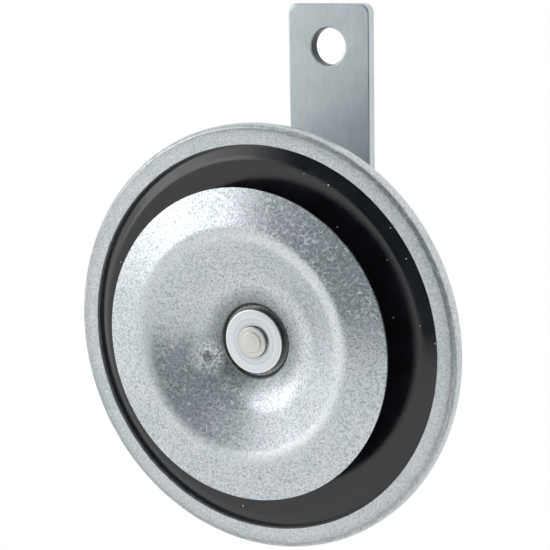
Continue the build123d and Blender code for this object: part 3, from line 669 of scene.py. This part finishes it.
def thread_tree():
    """A threaded rod along the depth on each point: a grid rolled into a tube, whose radius follows the
    thread's ridge. Its ends run out to a chamfer and close on the axis."""
    tree, given = new_tree("rolled_thread", Radius=float, Groove=float, Pitch=float, Length=float,
                           Chamfer=float, Rows=int)
    grid = add(tree, "GeometryNodeMeshGrid", {
        "Size X": 1.0, "Size Y": 1.0, "Vertices X": 49, "Vertices Y": given["Rows"]})
    spot = add(tree, "ShaderNodeSeparateXYZ", {0: add(tree, "GeometryNodeInputPosition")})
    round_share = add(tree, "ShaderNodeMath", {0: spot.outputs["X"], 1: 0.5}, operation="ADD")
    # The first and last rows close on the axis, and the rows between them share out the length.
    stretch = add(tree, "ShaderNodeMath", {0: spot.outputs["Y"], 1: 1.02}, operation="MULTIPLY")
    rise = add(tree, "ShaderNodeMath", {0: stretch, 1: 0.5}, operation="ADD", use_clamp=True)
    depth = add(tree, "ShaderNodeMath", {0: rise, 1: given["Length"]}, operation="MULTIPLY")
    turns = add(tree, "ShaderNodeMath", {0: depth, 1: given["Pitch"]}, operation="DIVIDE")
    phase = add(tree, "ShaderNodeMath", {0: turns, 1: round_share}, operation="SUBTRACT")
    wave = add(tree, "ShaderNodeMath", {0: phase, 1: 0.5}, operation="PINGPONG")
    ridge = add(tree, "ShaderNodeMapRange", {
        "Value": wave, "From Min": 0.06, "From Max": 0.44}, interpolation_type="SMOOTHSTEP")
    sunk = add(tree, "ShaderNodeMath", {0: ridge, 1: given["Groove"]}, operation="MULTIPLY")
    ridged = add(tree, "ShaderNodeMath", {0: given["Radius"], 1: sunk}, operation="SUBTRACT")
    to_end = add(tree, "ShaderNodeMath", {0: given["Length"], 1: depth}, operation="SUBTRACT")
    cone = add(tree, "ShaderNodeMath", {0: given["Radius"], 1: given["Chamfer"]}, operation="SUBTRACT")
    cone_end = add(tree, "ShaderNodeMath", {0: cone, 1: to_end}, operation="ADD")
    cut = add(tree, "ShaderNodeMath", {0: ridged, 1: cone_end}, operation="MINIMUM")
    edge = add(tree, "ShaderNodeMath", {0: spot.outputs["Y"]}, operation="ABSOLUTE")
    inside = add(tree, "ShaderNodeMath", {0: edge, 1: 0.4999}, operation="LESS_THAN")
    radius = add(tree, "ShaderNodeMath", {0: cut, 1: inside}, operation="MULTIPLY")
    angle = add(tree, "ShaderNodeMath", {0: round_share, 1: 2 * math.pi}, operation="MULTIPLY")
    across = add(tree, "ShaderNodeMath", {0: angle}, operation="COSINE")
    upward = add(tree, "ShaderNodeMath", {0: angle}, operation="SINE")
    x = add(tree, "ShaderNodeMath", {0: across, 1: radius}, operation="MULTIPLY")
    z = add(tree, "ShaderNodeMath", {0: upward, 1: radius}, operation="MULTIPLY")
    rolled = add(tree, "ShaderNodeCombineXYZ", {"X": x, "Y": depth, "Z": z})
    tube = add(tree, "GeometryNodeSetPosition", {"Geometry": grid, "Position": rolled})
    return close_tree(tree, given, tube)


rolled_thread = thread_tree()


core_steel = turned_steel("turned_core_steel", "#aeafab", "#cfcfca")
core_outline = rounded([(0, 24.2), (9.8, 24.2), (9.8, 35.2), (0, 35.2)], [0.6, 0.1], steps=5)
stud_thread = grown("stud_thread", [at(0, 34.9, 0)], rolled_thread, {
    "Radius": 4.0 * MM, "Groove": 0.65 * MM, "Pitch": 1.25 * MM, "Length": 14.5 * MM,
    "Chamfer": 0.8 * MM, "Rows": 240, "Finish": core_steel})
finished(joined(turned(core_outline, 128), stud_thread), core_steel, "magnet_core_skin", "housing",
         "machined_steel", "magnet_core")


# Contact breaker: brass leaves between phenolic blocks, riveted to the shelf. The armature's flange
# pushes the button on the moving leaf and opens the silver contacts at each stroke.

def rolled_brass(name, dark, light):
    """Rolled spring brass: a warm satin, with faint lines along the strip and a tarnish in clouds."""
    material, place = new_material(name)
    drawn = add(material, "ShaderNodeMapping", {"Vector": place, "Scale": (0.05, 1.0, 1.0)})
    lines = add(material, "ShaderNodeTexNoise", {"Vector": drawn, "Scale": 1 / (0.2 * MM), "Detail": 3.0})
    cloud = add(material, "ShaderNodeTexNoise", {"Vector": place, "Scale": 1 / (3 * MM), "Detail": 3.0})
    return shade(material, ramp(material, cloud, [(0.35, dark), (0.65, light)]), rough=(lines, 0.22, 0.34),
                 metal=1.0)


def phenolic():
    """Phenolic paper board: dark brown and slightly glossy, with paler paper layers in its thickness."""
    material, place = new_material("phenolic_board")
    parts = add(material, "ShaderNodeSeparateXYZ", {"Vector": place})
    layers = add(material, "ShaderNodeTexNoise", {
        "W": parts.outputs["Y"], "Scale": 1 / (0.25 * MM), "Detail": 1.0}, noise_dimensions="1D")
    specks = add(material, "ShaderNodeTexNoise", {"Vector": place, "Scale": 1 / (0.5 * MM), "Detail": 4.0})
    both = add(material, "ShaderNodeMath", {0: layers, 1: specks}, operation="MULTIPLY")
    return shade(material, ramp(material, both, [(0.12, "#24150d"), (0.42, "#4a2d1a")]), rough=0.38,
                 bump=(specks, 0.3, 0.01))


def contact_silver():
    """Silver alloy contact rivet: white metal, a little greyed and pitted by the spark."""
    material, place = new_material("silver_alloy_contact")
    pits = add(material, "ShaderNodeTexNoise", {"Vector": place, "Scale": 1 / (0.15 * MM), "Detail": 3.0})
    return shade(material, ramp(material, pits, [(0.35, "#c9c8c4"), (0.65, "#ebeae6")]), rough=0.25,
                 metal=1.0, bump=(pits, 0.5, 0.01))


spring_brass = rolled_brass("rolled_spring_brass", "#b8913f", "#d3ad5c")
board = phenolic()
dress(board, "breaker_insulator", "breaker_spacer", "breaker_top_insulator", "breaker_sleeves",
      "contact_pusher")
dress(spring_brass, "contact_spring", "fixed_contact_arm")
dress(contact_silver(), "fixed_contact_point", "moving_contact_point")
dress(plate_steel, "breaker_clamp_plate")
rivets("breaker_rivets", [(-32.6, 0.0), (-37.0, 0.0)], rivet_steel, "plain_steel", radius=1.25, front=2.8,
       back=13.6)


# Leads: three stiff enamelled copper wires inside the shell, bent square and soldered at both ends.

def enamelled_wire():
    """Copper magnet wire in clear amber enamel: a red-brown metal under a smooth hard coat."""
    material, place = new_material("enamelled_copper_wire")
    streak = add(material, "ShaderNodeTexNoise", {"Vector": place, "Scale": 1 / (0.8 * MM), "Detail": 2.0})
    return shade(material, ramp(material, streak, [(0.35, "#96451f"), (0.65, "#b9602f")]), rough=0.3,
                 metal=1.0, others={"Coat Weight": 0.6, "Coat Roughness": 0.12})


dress(enamelled_wire(), "coil_lead_terminal", "coil_lead_breaker", "breaker_lead")


# Adjusting screw: a slotted cheese-head screw in the boss of the shell, which sets the fixed contact.

screw_head_outline = rounded([(0, 16.8), (4.2, 16.8), (4.2, 19.8), (0, 19.8)], [0.15, 0.5], steps=6)


def slotted_head():
    """The head, with its slot cut by a thin block."""
    slot_width, slot_floor, block_depth, block_length = 1.2, 18.4, 3.0, 10.4
    head = in_scene("head", cleaned(turned(screw_head_outline, 96)))
    middle = Matrix.Translation(at(0, slot_floor + block_depth / 2, 0))
    size = Matrix.Diagonal((block_length * MM, block_depth * MM, slot_width * MM, 1.0))
    block = bmesh.new()
    bmesh.ops.create_cube(block, size=1.0, matrix=middle @ size)
    cutter = in_scene("cutter", as_mesh(block, "cutter"))
    cut = head.modifiers.new("slot", "BOOLEAN")
    cut.operation, cut.solver, cut.object = "DIFFERENCE", "EXACT", cutter
    bpy.context.view_layer.update()
    mesh = bpy.data.meshes.new_from_object(head.evaluated_get(bpy.context.evaluated_depsgraph_get()))
    bpy.data.objects.remove(head)
    bpy.data.objects.remove(cutter)
    return mesh


screw_steel = turned_steel("plated_screw_steel", "#a8a9a6", "#c6c6c2")
screw_thread = grown("screw_thread", [at(0, 5.45, 0)], rolled_thread, {
    "Radius": 2.5 * MM, "Groove": 0.4 * MM, "Pitch": 0.8 * MM, "Length": 11.5 * MM,
    "Chamfer": 0.0, "Rows": 260, "Finish": screw_steel})
screw_mesh = joined(slotted_head(), screw_thread)
screw_mesh.transform(Matrix.Translation((boss_x * MM, 0, boss_z * MM)))
finished(screw_mesh, screw_steel, "adjusting_screw_skin", "adjuster", "plain_steel", "adjusting_screw")


# Terminals: two tinned blades, riveted through a phenolic plate outside the shelf and a collared one
# inside it, which keep them off the shell.

def tin_plate():
    """Tin plated brass: a soft, slightly milky white metal with cloudy patches."""
    material, place = new_material("tin_plated_blade")
    milk = add(material, "ShaderNodeTexNoise", {"Vector": place, "Scale": 1 / (1.5 * MM), "Detail": 4.0})
    return shade(material, ramp(material, milk, [(0.35, "#c4c3bd"), (0.65, "#dcdbd6")]),
                 rough=(milk, 0.28, 0.44), metal=1.0)


dress(tin_plate(), "terminal_left", "terminal_right")
dress(board, "terminal_insulator", "terminal_inner_insulator")
rivet_brass = rolled_brass("cold_headed_brass", "#bd9747", "#d8b465")
rivets("terminal_rivets", [(-7.5, -32.6), (7.5, -32.6)], rivet_brass, "contact_brass", radius=1.5,
       front=11.4, back=16.4)


# Mounting bracket: strip of zinc-plated steel, blanked in one stroke, so that its front edges and the
# front of its hole are rolled over a little and its rear edges are sharp.

upper_hole_radius, upper_hole_height = 4.5, 64.8
stud_hole_radius = 4.2


def strip_loop(inset, depth, count=10):
    """Outline of the strip, inset by so many mm, at one depth."""
    half, low, high, corner = 11.0, -12.0, 75.04, 2.3
    points = []
    for quarter, (x, z) in enumerate(((half - corner, high - corner), (-half + corner, high - corner),
                                      (-half + corner, low + corner), (half - corner, low + corner))):
        for step in range(count + 1):
            angle = math.pi / 2 * (quarter + step / count)
            points.append((x + (corner - inset) * math.cos(angle), depth,
                           z + (corner - inset) * math.sin(angle)))
    return points


def hole_loop(radius, depth, z, count=96):
    """Round outline of a hole in the strip, at one depth."""
    angles = [2 * math.pi * k / count for k in range(count)]
    return [(radius * math.cos(angle), depth, z + radius * math.sin(angle)) for angle in angles]


def strip_mesh():
    """The strip, from rings of points that follow its edges from the front to the rear."""
    front, back, edge, steps = 36.2, 38.7, 0.4, 5
    walls = [(edge * (1 - math.sin(math.pi / 2 * k / steps)),
              front + edge * (1 - math.cos(math.pi / 2 * k / steps))) for k in range(steps + 1)]
    walls.append((0.0, back))
    shape = bmesh.new()
    caps = {0: [], len(walls) - 1: []}
    families = (strip_loop,
                lambda inset, depth: hole_loop(upper_hole_radius + inset, depth, upper_hole_height),
                lambda inset, depth: hole_loop(stud_hole_radius, depth, 0.0))
    for family in families:
        rings = [[shape.verts.new(at(*point)) for point in family(inset, depth)] for inset, depth in walls]
        walled(shape, rings)
        for number in caps:
            ring = rings[number]
            for k in range(len(ring)):
                caps[number].append(shape.edges.get((ring[k], ring[(k + 1) % len(ring)])))
    for edges in caps.values():
        bmesh.ops.triangle_fill(shape, use_beauty=True, edges=edges)
    return as_mesh(shape, "strip")


def strip_zinc():
    """Cold-rolled strip, zinc plated: smooth and bluish, with faint streaks along the rolling. The wall of
    the upper hole is coloured dark as painted shade."""
    material, place = new_material("zinc_plated_strip")
    stretched = add(material, "ShaderNodeMapping", {"Vector": place, "Scale": (1.0, 1.0, 0.25)})
    streaks = add(material, "ShaderNodeTexNoise", {
        "Vector": stretched, "Scale": 1 / (0.9 * MM), "Detail": 2.0})
    cloud = add(material, "ShaderNodeTexNoise", {"Vector": place, "Scale": 1 / (9 * MM), "Detail": 3.0})
    streaked = ramp(material, streaks, [(0.3, "#bdc6c9"), (0.7, "#c6ced1")])
    tone = ramp(material, cloud, [(0.3, 0.93), (0.7, 1.0)])
    colour = add(material, "ShaderNodeMix", {6: streaked, 7: tone, "Factor": 1.0},
                 data_type="RGBA", blend_type="MULTIPLY")
    # Painted shade: the wall of the upper hole is coloured dark.
    wall = add(material, "ShaderNodeMapRange", {
        "Value": away_from(material, place, 0, upper_hole_height),
        "From Min": (upper_hole_radius + 0.16) * MM, "From Max": (upper_hole_radius + 0.06) * MM})
    colour = add(material, "ShaderNodeMix", {6: colour, 7: linear("#34383a"), "Factor": wall},
                 data_type="RGBA")
    return shade(material, colour, rough=(streaks, 0.28, 0.33), metal=1.0, bump=(streaks, 0.4, 0.003))


bracket_zinc = strip_zinc()
bracket = finished(strip_mesh(), bracket_zinc, "bracket_skin", "housing", "bracket_zinc",
                   "mounting_bracket")
bracket.modifiers.new("even_normals", "WEIGHTED_NORMAL").keep_sharp = True


# Spring washer: square spring steel wire, coiled to one turn and cut on the slant, flat when tightened.

def split_ring(inner, outer, front, back, gap, slant, count=120):
    """One turn of rounded square wire, its ends gap mm apart and cut at slant degrees to the depth."""
    middle = (front + back) / 2
    section = rounded([(inner, middle), (inner, front), (outer, front), (outer, back), (inner, back),
                       (inner, middle)], [0.12, 0.3, 0.3, 0.12], steps=4)[:-1]
    shape = bmesh.new()
    rings = []
    for step in range(count + 1):
        ring = []
        for radius, depth in section:
            lean = (depth - middle) * math.tan(math.radians(slant))
            half_gap = math.asin((gap / 2) / radius)
            start = math.pi / 2 + half_gap + lean / radius
            angle = start + (2 * math.pi - 2 * half_gap) * step / count
            ring.append(shape.verts.new(on_circle(radius, angle, depth)))
        rings.append(ring)
    walled(shape, rings)
    shape.faces.new(rings[0])
    shape.faces.new(rings[-1])
    return as_mesh(shape, "split_ring")


fastener_zinc = zinc_sheet("zinc_plated_fastener", "#b4bbbd", "#bcbcc2", grain_mm=0.5, rough=0.32,
                           mottle=0.14, flecks=0.4)
spring_ring = split_ring(inner=4.2, outer=7.1, front=38.7, back=40.7, gap=1.2, slant=25.0)
finished(spring_ring, fastener_zinc, "spring_washer_skin", "housing", "bracket_zinc", "spring_washer")


# Mounting nut: M8 hexagon nut, cold formed and zinc plated, with both faces chamfered.

def hexagon_nut(across_flats, front, back, bore, blunting=0.05425):
    """Rings of points from the bore round the nut and back to the bore, closed on themselves."""
    outline = []
    half = across_flats / 2
    corner = across_flats / math.sqrt(3) - blunting
    for number in range(6):
        for step in range(-12, 12):
            angle = math.radians(60 * number + 30 * step / 12)
            flat = half / math.cos(math.radians(30 * step / 12))
            outline.append((angle, min(flat, corner)))
    face = half - 0.2
    drop = math.tan(math.radians(30))
    levels = []
    for angle, reach in outline:
        fall = max(0.0, reach - face) * drop
        levels.append([(bore, front + 0.5), (bore + 0.5, front), (face, front), (reach, front + fall + 0.02),
                       (reach, back - fall - 0.02), (face, back), (bore + 0.5, back), (bore, back - 0.5)])
    shape = bmesh.new()
    rings = [[shape.verts.new(on_circle(radius, angle, depth)) for radius, depth in rows]
             for (angle, reach), rows in zip(outline, levels)]
    walled(shape, rings + rings[:1])
    return as_mesh(shape, "hexagon_nut")


nut = hexagon_nut(across_flats=13.0, front=40.7, back=47.2, bore=4.05)
finished(nut, fastener_zinc, "mounting_nut_skin", "housing", "bracket_zinc", "mounting_nut")


# Floor, backdrop and light: a white floor far below the hanging horn, in an even white light. One large
# soft lamp stands to the left and a weaker one lower down beside the horn. Grey cards that only the
# reflections see give the polished parts something dark to mirror.

floor_z = cad_box[0][2] - 0.30
half_floor = 30.0
floor_corners = [(x * half_floor, y * half_floor, floor_z) for x, y in ((-1, -1), (1, -1), (1, 1), (-1, 1))]
floor_mesh = bpy.data.meshes.new("floor")
floor_mesh.from_pydata(floor_corners, [], [(0, 1, 2, 3)])
floor = in_scene("floor", floor_mesh)
floor_material, floor_place = new_material("white_floor")
on_floor = add(floor_material, "ShaderNodeMapping", {"Vector": floor_place, "Location": (0, 0, -floor_z)})
distance = add(floor_material, "ShaderNodeVectorMath", {0: on_floor}, operation="LENGTH")
# Below the horn the floor takes its shadow, and farther out the eye and mirrors see plain white.
far = add(floor_material, "ShaderNodeMapRange", {"Value": distance, "From Min": 0.35, "From Max": 0.7})
seen = add(floor_material, "ShaderNodeLightPath")
mirrored = add(floor_material, "ShaderNodeMath", {
    0: seen.outputs["Is Glossy Ray"], 1: seen.outputs["Is Transmission Ray"]}, operation="MAXIMUM")
seen_or_mirrored = add(floor_material, "ShaderNodeMath", {
    0: seen.outputs["Is Camera Ray"], 1: mirrored}, operation="MAXIMUM")
white_share = add(floor_material, "ShaderNodeMath", {0: far, 1: seen_or_mirrored}, operation="MULTIPLY")
plain = add(floor_material, "ShaderNodeBsdfDiffuse", {"Color": linear("#f4f4f4")})
bright = add(floor_material, "ShaderNodeEmission", {"Color": (1, 1, 1, 1), "Strength": 1.0})
either = add(floor_material, "ShaderNodeMixShader", {0: white_share, 1: plain, 2: bright})
add(floor_material, "ShaderNodeOutputMaterial", {"Surface": either})
floor_mesh.materials.append(floor_material)

world = bpy.data.worlds.new("studio")
bpy.context.scene.world = world
world.use_nodes = True
world.node_tree.nodes.clear()
tent = add(world, "ShaderNodeBackground", {"Color": (1, 1, 1, 1), "Strength": 1.0})
add(world, "ShaderNodeOutputWorld", {"Surface": tent})

# Directions round the horn are azimuth, 0 straight ahead of it and positive to the right, and elevation.
horn_centre = Vector((0, FRONT_Y, AXIS_Z))


def towards(azimuth, elevation):
    """Unit vector from the horn to a lamp, card or camera."""
    a, e = math.radians(azimuth), math.radians(elevation)
    return Vector((math.sin(a) * math.cos(e), -math.cos(a) * math.cos(e), math.sin(e)))


def facing_horn(azimuth, elevation, distance):
    """Place at that direction and distance, turned so that its -Z axis points at the horn."""
    direction = towards(azimuth, elevation)
    turn = direction.to_track_quat("Z", "Y").to_matrix().to_4x4()
    return Matrix.Translation(horn_centre + direction * distance) @ turn


def soft_lamp(name, azimuth, elevation, distance, width, height, power, roll=0):
    """A rectangular soft lamp, rolled by so many degrees to raise its right end."""
    lamp = bpy.data.lights.new(name, "AREA")
    lamp.shape = "RECTANGLE"
    lamp.size, lamp.size_y, lamp.energy = width, height, power
    in_scene(name, lamp).matrix_world = (facing_horn(azimuth, elevation, distance)
                                         @ Matrix.Rotation(math.radians(roll), 4, "Z"))


soft_lamp("key_softbox", -46, 11, distance=2.5, width=1.30, height=0.95, power=6.3, roll=10)
soft_lamp("left_window", -90, -18, distance=1.0, width=1.0, height=1.0, power=1.15)


def soft_card(name, azimuth, elevation, distance, edges, left_colour, right_colour, turn=(-0.3, 0.3)):
    """A flat card that only the reflections see. edges gives, for left, right, bottom and top, where in
    metres from its middle it begins to show and where it is solid. Its colour changes between turn's x."""
    mesh = bpy.data.meshes.new(name)
    x0, x1, y0, y1 = (pair[0] for pair in edges)
    mesh.from_pydata([(x0, y0, 0), (x1, y0, 0), (x1, y1, 0), (x0, y1, 0)], [], [(0, 1, 2, 3)])
    card = in_scene(name, mesh)
    card.matrix_world = facing_horn(azimuth, elevation, distance)
    material, place = new_material(name)
    parts = add(material, "ShaderNodeSeparateXYZ", {"Vector": place}).outputs
    solid = 1.0
    for (clear_at, solid_at), side in zip(edges, ("X", "X", "Y", "Y")):
        fade = add(material, "ShaderNodeMapRange", {
            "Value": parts[side], "From Min": clear_at, "From Max": solid_at})
        solid = add(material, "ShaderNodeMath", {0: fade, 1: solid}, operation="MULTIPLY")
    across = add(material, "ShaderNodeMapRange", {
        "Value": parts["X"], "From Min": turn[0], "From Max": turn[1]})
    colour = add(material, "ShaderNodeMix", {
        6: linear(left_colour), 7: linear(right_colour), "Factor": across}, data_type="RGBA")
    glow = add(material, "ShaderNodeEmission", {"Color": colour, "Strength": 1.0})
    clear = add(material, "ShaderNodeBsdfTransparent")
    mixed = add(material, "ShaderNodeMixShader", {0: solid, 1: clear, 2: glow})
    add(material, "ShaderNodeOutputMaterial", {"Surface": mixed})
    mesh.materials.append(material)
    card.visible_camera = card.visible_diffuse = card.visible_shadow = False


soft_card("dark_wall", 3, 15, 1.6, ((-1.00, -0.88), (1.8, 1.1), (-1.45, -1.15), (1.3, 0.4)),
          "#4b5b61", "#657176", turn=(-0.22, 0.34))
soft_card("grey_side", 27, -12, 1.5, ((-0.45, -0.20), (1.1, 0.6), (-0.62, -0.32), (0.7, 0.4)),
          "#6c777c", "#7c8589")
soft_card("grey_corner", 60, -28, 0.5, ((-0.30, -0.12), (0.40, 0.22), (-0.30, -0.1), (0.28, 0.12)),
          "#aaafb3", "#aaafb3")
soft_card("grey_ceiling", -35, 56, 1.6, ((-1.2, -0.6), (0.8, 0.2), (-0.75, -0.45), (0.9, 0.3)),
          "#ced4d7", "#ced4d7")

# Camera: fitted to the photograph, a little above the horn and to its right.
camera_azimuth = 29.904
camera_elevation = 11.026
camera_roll = -1.040
camera_place = Vector((0.1945, -0.36845, 0.0249))

camera = bpy.data.cameras.new("camera")
camera.lens, camera.sensor_width = 111.85, 36.0
camera.clip_end = 100
view = in_scene("camera", camera)
look = towards(camera_azimuth, camera_elevation).to_track_quat("Z", "Y").to_matrix().to_4x4()
view.matrix_world = (Matrix.Translation(camera_place) @ look
                     @ Matrix.Rotation(math.radians(camera_roll), 4, "Z"))
bpy.context.scene.camera = view
bpy.context.scene.view_settings.view_transform = "Standard"
